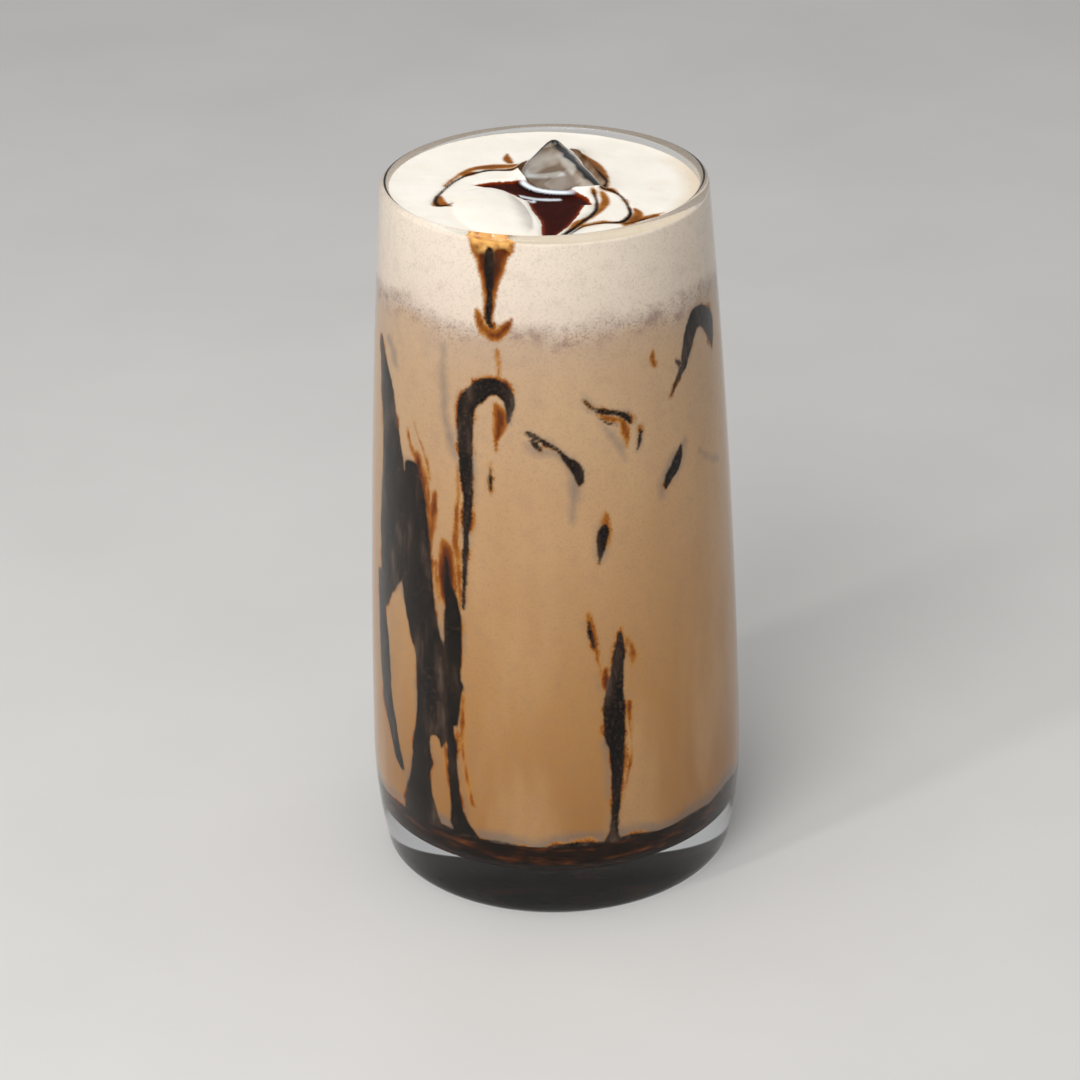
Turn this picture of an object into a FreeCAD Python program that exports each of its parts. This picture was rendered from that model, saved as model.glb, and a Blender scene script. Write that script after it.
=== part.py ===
"""Iced coffee in a tall tumbler: a thick-based glass, chocolate syrup settled on its floor,
milk coffee, a cap of cold milk foam, and one clear ice cube whose corner stands out of the foam.

Frame: millimetres, +Z up, origin at the centre of the glass's underside. -Y is the front.
"""

import FreeCAD, Part

import os

import Sketcher

PARTS_FOLDER = "parts"

# Driving dimensions, in millimetres and degrees. Each one can be changed by itself.
SIZES = [
    ("glass_height", 132.0),
    ("rim_radius", 28.9),
    ("belly_radius", 34.6),
    ("belly_height", 21.0),
    ("foot_inset", 2.2),
    ("side_arc_radius", 1800.0),
    ("wall", 1.7),
    ("base_thickness", 9.0),
    ("floor_corner_radius", 6.0),
    ("foot_round", 1.6),
    ("foot_ring_width", 7.4),
    ("punt_depth", 1.0),
    ("fill_clearance", 0.1),
    ("syrup_depth", 6.5),
    ("foam_depth", 15.8),
    ("fill_gap", 1.6),
    ("mound_length", 11.5),
    ("mound_width", 8.0),
    ("mound_height", 1.4),
    ("mound_bearing", -133.0),
    ("mound_turn", -75.0),
    ("mound_wall_gap", 1.2),
    ("ice_side", 20.0),
    ("ice_round", 2.0),
    ("ice_proud", 5.4),
    ("ice_bearing", 68.0),
    ("ice_wall_gap", 2.4),
    ("ice_turn", 14.0),
    ("ice_pitch", -44.0),
    ("ice_roll", 34.0),
]

# Cells that follow from the sizes above.
DERIVED = [
    ("base_radius", "=belly_radius - foot_inset"),
    ("punt_radius", "=base_radius - foot_ring_width"),
    ("rim_round", "=wall * 0.47"),
    ("syrup_level", "=base_thickness + syrup_depth"),
    ("fill_level", "=glass_height - fill_gap"),
    ("foam_level", "=fill_level - foam_depth"),
    # How far from the axis the mound's middle lies.
    ("mound_offset", "=rim_radius - wall - mound_wall_gap - mound_length"),
    # The cube's attitude, and where the middles of its upper and back rounded corners lie in it.
    ("ice_pose", "=create(<<rotation>>; ice_turn; ice_pitch; ice_roll)"),
    ("ice_far", "=ice_side - ice_round"),
    ("ice_peak", "=ice_pose * create(<<vector>>; ice_far; ice_far; ice_far)"),
    ("ice_back", "=ice_pose * create(<<vector>>; ice_far; ice_far; ice_round)"),
    ("ice_offset", "=rim_radius - wall - ice_wall_gap - ice_round"),
]


def make_sheet(doc):
    """The spreadsheet that holds every driving dimension under its alias."""
    sheet = doc.addObject("Spreadsheet::Sheet", "sizes")
    for row, (alias, value) in enumerate(SIZES + DERIVED, start=1):
        cell = f"B{row}"
        sheet.set(f"A{row}", alias)
        sheet.set(cell, str(value))
        sheet.setAlias(cell, alias)
    doc.recompute()
    return sheet


def bind(target, **expressions):
    """Binds properties of a feature to expressions over the sheet, with __ for a dot in a name."""
    for name, expression in expressions.items():
        target.setExpression(name.replace("__", "."), expression)


def origin_plane(body, role):
    return next(item for item in body.Origin.OriginFeatures if item.Role == role)


def upright_sketch(body, name):
    """A sketch on the body's XZ plane: its own x is the radius and its own y is the height."""
    sketch = body.newObject("Sketcher::SketchObject", name)
    sketch.AttachmentSupport = [(origin_plane(body, "XZ_Plane"), "")]
    sketch.MapMode = "FlatFace"
    return sketch


def line(sketch, start, end):
    return sketch.addGeometry(Part.LineSegment(FreeCAD.Vector(*start), FreeCAD.Vector(*end)), False)


def arc(sketch, start, middle, end):
    """An arc through three points; returns its index and which of its ends is at start and at end."""
    points = [FreeCAD.Vector(*point) for point in (start, middle, end)]
    index = sketch.addGeometry(Part.Arc(*points), False)
    at_start = 1 if sketch.getPoint(index, 1).isEqual(points[0], 1e-6) else 2
    return index, at_start, 3 - at_start


def constrain(sketch, kind, *where, value=None, expression=None):
    """Adds a constraint, and ties its value to the sheet where an expression is given."""
    arguments = (kind, *where) if value is None else (kind, *where, value)
    index = sketch.addConstraint(Sketcher.Constraint(*arguments))
    if expression:
        sketch.setExpression(f"Constraints[{index}]", expression)
    return index


def place_point(sketch, geometry, end, radius, radius_expression, height, height_expression):
    """Fixes one end of a line or arc at a radius and a height, both tied to the sheet."""
    constrain(sketch, "DistanceX", -1, 1, geometry, end, value=radius, expression=radius_expression)
    constrain(sketch, "DistanceY", -1, 1, geometry, end, value=height, expression=height_expression)


def bowed(start, end, radius):
    """The middle of the arc of that radius from start to end, bowed away from the axis."""
    chord = FreeCAD.Vector(end[0] - start[0], end[1] - start[1], 0)
    depth = radius - (radius**2 - (chord.Length / 2) ** 2) ** 0.5
    outward = FreeCAD.Vector(chord.y, -chord.x, 0).normalize()
    middle = FreeCAD.Vector((start[0] + end[0]) / 2, (start[1] + end[1]) / 2, 0) + outward * depth
    return (middle.x, middle.y, 0)


def outer_profile(sketch, size):
    """Half section of the glass's outside: flat base, flare to the belly, long bowed side, rim."""
    axis_foot, axis_top = (0, 0, 0), (0, size.glass_height, 0)
    foot = (size.base_radius, 0, 0)
    belly = (size.belly_radius, size.belly_height, 0)
    rim = (size.rim_radius, size.glass_height, 0)
    flare_radius = (size.belly_height**2) / (2 * (size.belly_radius - size.base_radius))

    base = line(sketch, axis_foot, foot)
    flare, flare_foot, flare_belly = arc(sketch, foot, bowed(foot, belly, flare_radius), belly)
    side, side_belly, side_rim = arc(sketch, belly, bowed(belly, rim, size.side_arc_radius), rim)
    top = line(sketch, rim, axis_top)
    axis = line(sketch, axis_top, axis_foot)

    constrain(sketch, "Coincident", base, 1, -1, 1)
    constrain(sketch, "Horizontal", base)
    constrain(sketch, "Coincident", base, 2, flare, flare_foot)
    constrain(sketch, "Tangent", flare, flare_belly, side, side_belly)
    constrain(sketch, "Coincident", side, side_rim, top, 1)
    constrain(sketch, "Horizontal", top)
    constrain(sketch, "Coincident", top, 2, axis, 1)
    constrain(sketch, "Coincident", axis, 2, base, 1)
    constrain(sketch, "Vertical", axis)
    constrain(
        sketch, "DistanceX", -1, 1, base, 2, value=size.base_radius, expression="sizes.base_radius"
    )
    place_point(
        sketch, side, side_belly,
        size.belly_radius, "sizes.belly_radius", size.belly_height, "sizes.belly_height",
    )
    place_point(
        sketch, side, side_rim,
        size.rim_radius, "sizes.rim_radius", size.glass_height, "sizes.glass_height",
    )
    constrain(
        sketch, "Radius", side, value=size.side_arc_radius, expression="sizes.side_arc_radius"
    )


def inside_profile(sketch, size, clearance_name=None):
    """Half section of the glass's inside, or of what fills it, which is smaller by a clearance."""
    clearance = getattr(size, clearance_name) if clearance_name else 0
    less, more = (f" - sizes.{clearance_name}", f" + sizes.{clearance_name}") if clearance_name else ("", "")
    inset = size.wall + clearance
    corner = size.floor_corner_radius
    floor_height = size.base_thickness + clearance
    inner_belly = size.belly_radius - inset
    slack = corner * (1 - 0.5**0.5)
    floor_end = (inner_belly - corner, floor_height, 0)
    corner_middle = (inner_belly - slack, floor_height + slack, 0)
    corner_top = (inner_belly, floor_height + corner, 0)
    belly = (inner_belly, size.belly_height, 0)
    rim = (size.rim_radius - inset, size.glass_height, 0)
    axis_floor, axis_top = (0, floor_height, 0), (0, size.glass_height, 0)
    inner_arc_radius = size.side_arc_radius - inset

    floor = line(sketch, axis_floor, floor_end)
    turn, turn_floor, turn_side = arc(sketch, floor_end, corner_middle, corner_top)
    upright = line(sketch, corner_top, belly)
    side, side_belly, side_rim = arc(sketch, belly, bowed(belly, rim, inner_arc_radius), rim)
    top = line(sketch, rim, axis_top)
    axis = line(sketch, axis_top, axis_floor)

    constrain(sketch, "Horizontal", floor)
    constrain(sketch, "Tangent", floor, 2, turn, turn_floor)
    constrain(sketch, "Tangent", turn, turn_side, upright, 1)
    constrain(sketch, "Vertical", upright)
    constrain(sketch, "Coincident", upright, 2, side, side_belly)
    constrain(sketch, "Coincident", side, side_rim, top, 1)
    constrain(sketch, "Horizontal", top)
    constrain(sketch, "Coincident", top, 2, axis, 1)
    constrain(sketch, "Coincident", axis, 2, floor, 1)
    constrain(sketch, "PointOnObject", axis, 1, -2)
    constrain(sketch, "PointOnObject", axis, 2, -2)
    constrain(
        sketch, "DistanceY", -1, 1, floor, 2, value=floor_height, expression=f"sizes.base_thickness{more}"
    )
    constrain(sketch, "Radius", turn, value=corner, expression="sizes.floor_corner_radius")
    place_point(
        sketch, side, side_belly,
        inner_belly, f"sizes.belly_radius - sizes.wall{less}", size.belly_height, "sizes.belly_height",
    )
    place_point(
        sketch, side, side_rim,
        rim[0], f"sizes.rim_radius - sizes.wall{less}", size.glass_height, "sizes.glass_height",
    )
    constrain(
        sketch, "Radius", side,
        value=inner_arc_radius, expression=f"sizes.side_arc_radius - sizes.wall{less}",
    )


def punt_profile(sketch, size):
    """Half section of the shallow dish under the base, an arc from its edge up to the axis."""
    edge = (size.punt_radius, 0, 0)
    top = (0, size.punt_depth, 0)
    dish_radius = (size.punt_radius**2 + size.punt_depth**2) / (2 * size.punt_depth)
    dish, dish_edge, dish_top = arc(sketch, edge, bowed(edge, top, dish_radius), top)
    axis = line(sketch, top, (0, 0, 0))
    base = line(sketch, (0, 0, 0), edge)

    constrain(sketch, "Coincident", axis, 2, -1, 1)
    constrain(sketch, "Vertical", axis)
    constrain(sketch, "Coincident", dish, dish_top, axis, 1)
    constrain(sketch, "Coincident", base, 1, axis, 2)
    constrain(sketch, "Horizontal", base)
    constrain(sketch, "Coincident", base, 2, dish, dish_edge)
    constrain(sketch, "PointOnObject", dish, 3, -2)
    constrain(
        sketch, "DistanceX", -1, 1, base, 2, value=size.punt_radius, expression="sizes.punt_radius"
    )
    constrain(
        sketch, "DistanceY", -1, 1, axis, 1, value=size.punt_depth, expression="sizes.punt_depth"
    )


def turned(body, kind, name, sketch):
    """A full turn of the sketch about its own upright axis, as a Revolution or a Groove."""
    feature = body.newObject(kind, name)
    feature.Profile = sketch
    feature.ReferenceAxis = (sketch, ["V_Axis"])
    feature.Angle = 360.0
    sketch.Visibility = False
    return feature


def circles_at(shape, radius, height):
    """Names of the circular edges of that radius at that height."""
    return [
        f"Edge{number}"
        for number, edge in enumerate(shape.Edges, start=1)
        if not edge.Degenerated
        and isinstance(edge.Curve, Part.Circle)
        and abs(edge.Curve.Radius - radius) < 1e-4
        and abs(edge.Curve.Center.z - height) < 1e-4
    ]


def rounded(body, name, base, edges, expression):
    """A fillet on the named edges of the feature base."""
    fillet = body.newObject("PartDesign::Fillet", name)
    fillet.Base = (base, edges)
    bind(fillet, Radius=expression)
    body.Document.recompute()
    return fillet


def make_tumbler(doc, size):
    """The glass: one turned solid with a thick base, a shallow dish under it and a rounded rim."""
    body = doc.addObject("PartDesign::Body", "Tumbler")
    body.Label = "tumbler"
    outside = upright_sketch(body, "OuterProfile")
    outer_profile(outside, size)
    turned(body, "PartDesign::Revolution", "Outside", outside)
    inside = upright_sketch(body, "CavityProfile")
    inside_profile(inside, size)
    turned(body, "PartDesign::Groove", "Cavity", inside)
    under = upright_sketch(body, "PuntProfile")
    punt_profile(under, size)
    punt = turned(body, "PartDesign::Groove", "Punt", under)
    doc.recompute()

    rim_edges = circles_at(punt.Shape, size.rim_radius, size.glass_height)
    rim_edges += circles_at(punt.Shape, size.rim_radius - size.wall, size.glass_height)
    rim = rounded(body, "RimRound", punt, rim_edges, "sizes.rim_round")
    foot_edges = circles_at(rim.Shape, size.base_radius, 0)
    rounded(body, "FootRound", rim, foot_edges, "sizes.foot_round")
    return body


def make_fill(doc, size):
    """All that fills the glass as one solid, from which each layer of the drink is cut."""
    body = doc.addObject("PartDesign::Body", "Filling")
    inside = upright_sketch(body, "FillProfile")
    inside_profile(inside, size, "fill_clearance")
    turned(body, "PartDesign::Revolution", "Fill", inside)
    return body


def layer(doc, name, fill, bottom, top):
    """The part of the filling between two heights, each the name of a cell in the sheet."""
    slab = doc.addObject("Part::Cylinder", name + "Slab")
    bind(
        slab,
        # Wide enough to reach past the glass, whichever of the two radii is the larger.
        Radius="sizes.belly_radius + sizes.rim_radius",
        Height=f"sizes.{top} - sizes.{bottom}",
        Placement__Base__z=f"sizes.{bottom}",
    )
    return combined(doc, "Part::Common", name + "Layer", fill, slab)


def combined(doc, kind, name, base, tool, label=None):
    """A Part::Cut, Part::Fuse or Part::Common of two objects."""
    result = doc.addObject(kind, name)
    result.Base = base
    result.Tool = tool
    if label:
        result.Label = label
    return result


def make_ice(doc):
    """The ice cube: rounded, with one corner up out of the foam and one back near the wall."""
    ice = doc.addObject("PartDesign::Body", "IceCube")
    ice.Label = "ice_cube"
    cube = ice.newObject("PartDesign::AdditiveBox", "IceBlock")
    bind(cube, Length="sizes.ice_side", Width="sizes.ice_side", Height="sizes.ice_side")
    doc.recompute()
    edges = [f"Edge{number}" for number in range(1, len(cube.Shape.Edges) + 1)]
    rounded(ice, "IceRound", cube, edges, "sizes.ice_round")

    east = "sizes.ice_offset * cos(sizes.ice_bearing * 1 deg) - sizes.ice_back.x"
    north = "sizes.ice_offset * sin(sizes.ice_bearing * 1 deg) - sizes.ice_back.y"
    height = "sizes.fill_level + sizes.ice_proud - sizes.ice_round - sizes.ice_peak.z"
    spot = f"create(<<vector>>; {east}; {north}; {height})"
    bind(ice, Placement=f"create(<<placement>>; {spot}; sizes.ice_pose)")
    return ice


def make_mound(doc):
    """The low swell where thick foam has piled up beside the ice."""
    mound = doc.addObject("Part::Ellipsoid", "FoamMound")
    bind(
        mound,
        Radius1="sizes.mound_height",
        Radius2="sizes.mound_length",
        Radius3="sizes.mound_width",
    )
    east = "sizes.mound_offset * cos(sizes.mound_bearing * 1 deg)"
    north = "sizes.mound_offset * sin(sizes.mound_bearing * 1 deg)"
    spot = f"create(<<vector>>; {east}; {north}; sizes.fill_level)"
    turn = "create(<<rotation>>; sizes.mound_turn; 0; 0)"
    bind(mound, Placement=f"create(<<placement>>; {spot}; {turn})")
    return mound


def make_drink(doc, size):
    """The settled syrup, the milk coffee and the foam, the last two cut round the ice cube."""
    fill = make_fill(doc, size)
    ice = make_ice(doc)
    syrup = layer(doc, "Syrup", fill, "base_thickness", "syrup_level")
    syrup.Label = "settled_syrup"
    coffee_layer = layer(doc, "Coffee", fill, "syrup_level", "foam_level")
    coffee = combined(doc, "Part::Cut", "MilkCoffee", coffee_layer, ice, "milk_coffee")
    foam_layer = layer(doc, "Foam", fill, "foam_level", "fill_level")
    swollen = combined(doc, "Part::Fuse", "FoamWithMound", foam_layer, make_mound(doc))
    foam = combined(doc, "Part::Cut", "MilkFoam", swollen, ice, "milk_foam")
    return [syrup, coffee, foam, ice]


def check(doc, parts):
    """Stops the build if any object failed, or any part isn't a valid closed solid."""
    for item in doc.Objects:
        if "Invalid" in item.State or "Error" in item.State:
            raise RuntimeError(f"{item.Label} is {item.State}")
        if item.TypeId == "Sketcher::SketchObject" and not item.FullyConstrained:
            raise RuntimeError(f"{item.Label} is not fully constrained")
    for part in parts:
        shape = part.Shape
        if shape.isNull() or not shape.isValid() or len(shape.Solids) != 1:
            raise RuntimeError(f"{part.Label} is not one valid solid")


def export(parts):
    os.makedirs(PARTS_FOLDER, exist_ok=True)
    for part in parts:
        part.Shape.exportStep(os.path.join(PARTS_FOLDER, f"{part.Label}.step"))
        box = part.Shape.optimalBoundingBox(False, False)
        print(
            f"{part.Label}: {box.XLength:.2f} x {box.YLength:.2f} x {box.ZLength:.2f} mm,"
            f" {part.Shape.Volume / 1000:.2f} ml"
        )


def main():
    doc = FreeCAD.newDocument("iced_coffee")
    size = make_sheet(doc)
    parts = [make_tumbler(doc, size)] + make_drink(doc, size)
    doc.recompute()
    check(doc, parts)
    export(parts)


main()
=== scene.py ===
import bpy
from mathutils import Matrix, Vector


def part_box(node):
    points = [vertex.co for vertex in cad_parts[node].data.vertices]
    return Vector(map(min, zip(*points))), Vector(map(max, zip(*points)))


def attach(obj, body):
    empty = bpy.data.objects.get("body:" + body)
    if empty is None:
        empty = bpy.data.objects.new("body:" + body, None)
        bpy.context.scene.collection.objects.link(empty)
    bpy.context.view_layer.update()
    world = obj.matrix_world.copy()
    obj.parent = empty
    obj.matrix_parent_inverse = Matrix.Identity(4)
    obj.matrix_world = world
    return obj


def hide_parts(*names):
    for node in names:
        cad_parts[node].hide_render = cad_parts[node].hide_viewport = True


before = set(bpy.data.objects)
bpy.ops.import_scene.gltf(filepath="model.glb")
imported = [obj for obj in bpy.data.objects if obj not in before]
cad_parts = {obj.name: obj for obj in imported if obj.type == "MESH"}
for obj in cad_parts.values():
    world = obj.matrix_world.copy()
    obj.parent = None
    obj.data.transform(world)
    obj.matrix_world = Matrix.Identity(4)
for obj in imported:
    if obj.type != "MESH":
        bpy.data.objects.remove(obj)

"""Iced coffee in a tall tumbler: clear glass, settled syrup, milk coffee with syrup streaks on the wall,
a cap of milk foam swirled with syrup, and one melting ice cube."""

import math

import bpy
import numpy as np
from mathutils import Matrix, Vector, noise

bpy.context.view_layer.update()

MM = 0.001

# ---------------------------------------------------------------- sizes, in metres

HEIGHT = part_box("tumbler")[1][2]
RIM_RADIUS = 28.9 * MM
BELLY_RADIUS = 34.6 * MM
BELLY_HEIGHT = 21.0 * MM
FOOT_RADIUS = 32.4 * MM
FOOT_ROUND = 1.6 * MM
PUNT_RADIUS = 25.0 * MM
PUNT_DEPTH = 1.0 * MM
SIDE_ARC_RADIUS = 1800.0 * MM
FLARE_ARC_RADIUS = 97.0 * MM
WALL = 1.7 * MM
BASE_THICKNESS = 9.0 * MM
FLOOR_CORNER_RADIUS = 6.0 * MM

SYRUP_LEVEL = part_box("settled_syrup")[1][2]
FOAM_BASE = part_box("milk_foam")[0][2]

# What fills the glass reaches this far into the wall, so that no air shows between them.
BITE = 0.15 * MM

# The foam stands a little below the rim, and higher towards one side.
FOAM_GAP = 1.7 * MM
FOAM_TILT = 0.7 * MM
FOAM_TILT_BEARING = math.radians(160)
WALL_MENISCUS = 0.25 * MM

ICE_SIDE = 20.0 * MM
ICE_ROUND = 2.3 * MM
ICE_CENTRE = (Vector(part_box("ice_cube")[0]) + Vector(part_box("ice_cube")[1])) / 2
ICE_POSE = (
    Matrix.Rotation(math.radians(14), 3, "Z")
    @ Matrix.Rotation(math.radians(-44), 3, "Y")
    @ Matrix.Rotation(math.radians(34), 3, "X")
)
ICE_MELT = 0.35 * MM
PIT_DEPTH = 4.0 * MM

# The face that looks at the front has melted into a dome, round this spot on it; all three in mm.
DOME_SPOT = (1.6, -0.4)
DOME_RADIUS = 10.5
DOME_HEIGHT = 4.6

# The swell of foam beside the puddle; its place and half lengths are in mm.
MOUND_SPOT = (-9.3, -12.3)
MOUND_LENGTH = 11.8
MOUND_WIDTH = 6.2
MOUND_TURN = math.radians(-75)
MOUND_HEIGHT = 1.15 * MM

# How far the syrup sinks into the foam, how deep the foam ripples, and how far it climbs the ice.
PUDDLE_DEPTH = 0.55 * MM
GROOVE_DEPTH = 0.22 * MM
RIPPLE_DEPTH = 0.07 * MM
CLING_HEIGHT = 0.9 * MM

GLASS_SEGMENTS = 256
DRINK_SEGMENTS = 500
FOAM_SEGMENTS = 480
FRONT_SHARE = 0.74
FRONT_HALF_ANGLE = math.radians(100)
ROW_STEP = 0.52 * MM
RING_STEP = 0.36 * MM

# ---------------------------------------------------------------- syrup on the wall
# A streak is a line of (degrees round from the front, height in mm, half width in mm).

WALL_DARK = [
    # the drip under the lip
    [(-20, 129, 0.6), (-20, 127, 0.9), (-20, 121, 0.6), (-20.5, 117, 0.6), (-19.5, 115.5, 0.3)],
    # the arch below it, with a long tail
    [(-14, 98.5, 0.3), (-13.5, 101, 0.8), (-14, 103, 1.2), (-17, 104.5, 1.5), (-21, 104.5, 1.7),
     (-25, 103, 1.8), (-28, 101, 1.7), (-29, 97, 1.6), (-28.5, 88, 1.3), (-28, 84, 1.0),
     (-29, 73, 0.6), (-30, 62, 0.3)],
    [(-20, 89.5, 0.1), (-20, 87.5, 0.35), (-20, 85.5, 0.1)],
    # the great run down the left: its outer part, its middle and its right column
    [(-74, 106, 0.5), (-72, 103, 1.2), (-68.5, 98, 2.6), (-65, 91, 3.1), (-63, 84, 4.1),
     (-61.5, 75, 5.5), (-62, 70, 5.6), (-63.5, 65, 4.3), (-67, 60, 2.8), (-70.5, 55, 1.8)],
    [(-51.5, 85, 2.1), (-50.5, 80, 3.1), (-50, 72, 3.9), (-49, 63, 4.2), (-46, 55, 4.0),
     (-43, 50, 3.9), (-42, 42, 4.2), (-43, 36.5, 3.9), (-46, 31.5, 3.1), (-48, 27, 2.5),
     (-48.5, 23, 3.0), (-49, 18.5, 4.3), (-48, 15, 5.0)],
    [(-34.5, 64.5, 1.0), (-34, 61, 1.6), (-34, 57, 1.9), (-34.5, 43, 1.7), (-35, 38, 1.5),
     (-35, 33.5, 1.1), (-34.5, 27, 1.1), (-33.5, 21.5, 1.3), (-32.5, 18, 2.0), (-29.5, 15, 2.4)],
    [(-36, 71, 0.15), (-36, 67.5, 0.6), (-35.5, 64.5, 1.0)],
    [(-35, 46, 2.6), (-37, 43, 2.8), (-38, 39, 1.6)],
    # the strip along the left edge
    [(-73, 60.5, 0.8), (-71, 55, 1.6), (-69.5, 49.5, 2.1), (-68.5, 43.5, 2.3), (-67, 37.5, 2.0),
     (-64.5, 33, 1.8), (-61.5, 28.5, 1.3), (-60, 26, 1.3), (-57.5, 24, 0.5)],
    # small strokes on the right
    [(-8, 96.5, 0.3), (-7, 96.5, 0.5), (-2.5, 95, 0.45), (0.5, 94, 0.4), (3, 93, 0.45),
     (5, 91.5, 0.7), (7, 90.5, 0.95), (8.5, 89, 1.0), (9, 87, 0.4)],
    [(-7, 95.5, 0.3), (-5, 94.5, 0.6), (-3.5, 93.5, 0.3)],
    [(11, 102.5, 0.1), (13, 101, 0.25), (16, 100, 0.35), (22.5, 99, 0.5), (25.5, 98, 0.6), (27, 97, 0.35)],
    [(16.5, 98.5, 0.1), (19, 97.5, 0.25), (22, 97, 0.3)],
    [(30.5, 95, 0.3), (30, 93, 0.4), (29, 91.5, 0.15)],
    [(70.5, 103.5, 0.3), (70, 106, 1.2), (68.5, 108.5, 2.1), (64, 110.5, 2.0), (59, 111, 1.9),
     (56, 109.5, 1.7), (52.5, 106, 1.3), (51, 104, 0.9), (48, 102.5, 0.7), (44, 99.5, 0.1)],
    [(47, 105.5, 0.2), (48.5, 104.5, 0.5)],
    [(47, 89.5, 0.3), (45.5, 87.5, 1.0), (43.5, 86, 1.2), (41, 84.5, 1.0), (39.5, 83, 0.4)],
    [(16.5, 78.5, 0.4), (16, 77, 1.1), (15.5, 75, 0.8), (14.5, 71.5, 0.1)],
    # the lower right run
    [(20.5, 57.5, 0.3), (20.5, 55.5, 0.9), (19.5, 51, 1.2), (18.5, 47, 1.6), (18, 44, 2.0),
     (18, 38, 2.0), (18.5, 35, 1.6), (18.5, 32, 1.3), (18, 25, 0.9), (17.5, 21, 0.8),
     (17, 18, 0.9), (16.5, 15.5, 1.6)],
    [(10.5, 60.5, 0.2), (11, 58, 0.45), (12, 55.5, 0.2)],
]

WALL_AMBER = [
    # the funnel of the drip, its curl, and the thread below
    [(-19.5, 131, 4.2), (-19.5, 130, 3.9), (-19.5, 128, 3.0), (-19.5, 126, 2.4), (-20, 122, 1.5),
     (-20.5, 117, 1.0)],
    [(-24.5, 118, 0.6), (-23.5, 116, 1.0), (-21, 114.5, 1.3), (-17.5, 114, 1.3), (-14.5, 115.5, 1.1),
     (-12.5, 117, 0.4)],
    [(-17.5, 111.5, 0.25), (-17, 108.5, 0.4), (-17, 106, 0.6)],
    # round the arch
    [(-30, 103, 0.3), (-30.5, 101, 0.9), (-31.5, 98.5, 0.8), (-31.5, 96, 0.5)],
    [(-18, 101.5, 0.7), (-16.5, 99.5, 1.5), (-17, 97, 1.2), (-18, 95, 0.6), (-18, 93, 0.3)],
    [(-20, 91, 0.1), (-20, 87.5, 0.45), (-20, 84.5, 0.1)],
    # beside the great run
    [(-54, 93, 0.25), (-53, 91, 0.5), (-51, 89, 0.75), (-48, 87, 0.95), (-45.5, 85.5, 0.9), (-43.5, 81, 0.6)],
    [(-50.5, 94.5, 0.2), (-48.5, 92, 0.25), (-46, 90, 0.4), (-44, 87.5, 0.4), (-43, 85, 0.35)],
    [(-49, 88.5, 1.2), (-47.5, 86, 1.4), (-44.5, 81, 0.9), (-43, 74, 0.7),
     (-43, 67.5, 0.65), (-42, 63.5, 0.5)],
    [(-40.5, 83, 0.4), (-41, 81.5, 0.8), (-41.5, 78.5, 1.1), (-42, 75.5, 0.8), (-42, 73.5, 0.4)],
    [(-32, 89, 0.2), (-31.5, 83.5, 0.5), (-32, 80.5, 0.55), (-32.5, 75, 0.8), (-31.5, 69, 0.75),
     (-31, 61.5, 0.35)],
    [(-37.5, 74.5, 0.2), (-37, 73, 1.2), (-36, 71, 1.9), (-36, 65.5, 2.3), (-35, 63, 2.0)],
    [(-40.5, 69.5, 0.5), (-40, 65, 0.6), (-39, 62, 0.4)],
    [(-31, 57.5, 0.35), (-31, 54.5, 0.4), (-31.5, 51.5, 0.15)],
    [(-31, 45.5, 0.5), (-30.5, 43, 0.6), (-31, 38, 0.8), (-31, 33.5, 0.35), (-29.5, 28, 0.5),
     (-28, 23, 0.35), (-27, 22.5, 0.25)],
    [(-37.5, 33.5, 0.5), (-37, 30, 0.75), (-36.5, 26.5, 0.5)],
    # beside the strokes on the right
    [(15.5, 99.5, 0.25), (18, 98.5, 0.5), (21, 98, 0.7), (23.5, 97.5, 0.75),
     (25, 95.5, 0.85), (25.5, 92, 0.15)],
    [(37, 108.5, 0.4), (36.5, 107, 0.75), (37.5, 106, 0.5)],
    [(17, 81.5, 0.25), (17, 80, 0.9), (17, 78.5, 1.0)],
    [(10.5, 62, 0.5), (11, 60, 0.85), (12, 57, 0.85), (13, 54, 0.5), (14.5, 48, 0.3)],
    [(15.5, 51, 0.65), (15.5, 49, 1.0), (15.5, 47, 0.65)],
    [(21, 58.5, 0.25), (20.5, 56.5, 0.8)],
    [(24, 55, 0.35), (25, 52.5, 0.9), (24, 50.5, 0.5)],
    [(23, 43.5, 0.7), (23, 41, 0.6), (23.5, 35, 0.3), (22.5, 30.5, 0.35), (20.5, 25.5, 0.2)],
]

# Milk over syrup: a soft grey tint, and in the last line a painted reflection.
WALL_VEIL_AND_SHEEN = [
    [(-37.5, 110, 0.4), (-37.5, 103, 0.8), (-37, 100.5, 0.5), (-37, 98, 0.7), (-34, 93, 0.9),
     (-30.5, 88.5, 0.5), (-30, 86.5, 0.3)],
    [(-67.5, 107, 0.6), (-64, 105.5, 0.9), (-62.5, 104, 0.9), (-61.5, 103, 0.5)],
    [(-8, 94.5, 0.4), (-5.5, 93.5, 0.9), (3, 92.5, 0.7), (7, 89.5, 1.2), (7.5, 87, 1.0), (6, 80, 0.2)],
    [(17, 97.5, 0.2), (19.5, 95.5, 0.6), (23, 92.5, 0.6), (24.5, 90.5, 0.2)],
    [(10.5, 103.5, 0.1), (12.5, 101.5, 0.4), (15, 100.5, 0.4)],
    [(49, 90, 0.4), (43.5, 87, 1.5), (39.5, 84, 1.4), (37.5, 81.5, 0.5)],
    [(57, 86.5, 0.15), (62.5, 84, 0.35), (69.5, 82, 0.3)],
    [(13.5, 50, 0.4), (13.5, 47.5, 0.3)],
    [(15, 36.5, 0.5), (15.5, 30, 0.5), (16, 24.5, 0.35)],
    # Painted reflection: the grey sheen along the left edge, over the great run.
    [(-67, 84, 1.6), (-66, 78, 2.4), (-66, 70, 2.6), (-67, 63, 2.0), (-70, 55, 1.6), (-69, 47, 1.6)],
]

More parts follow.
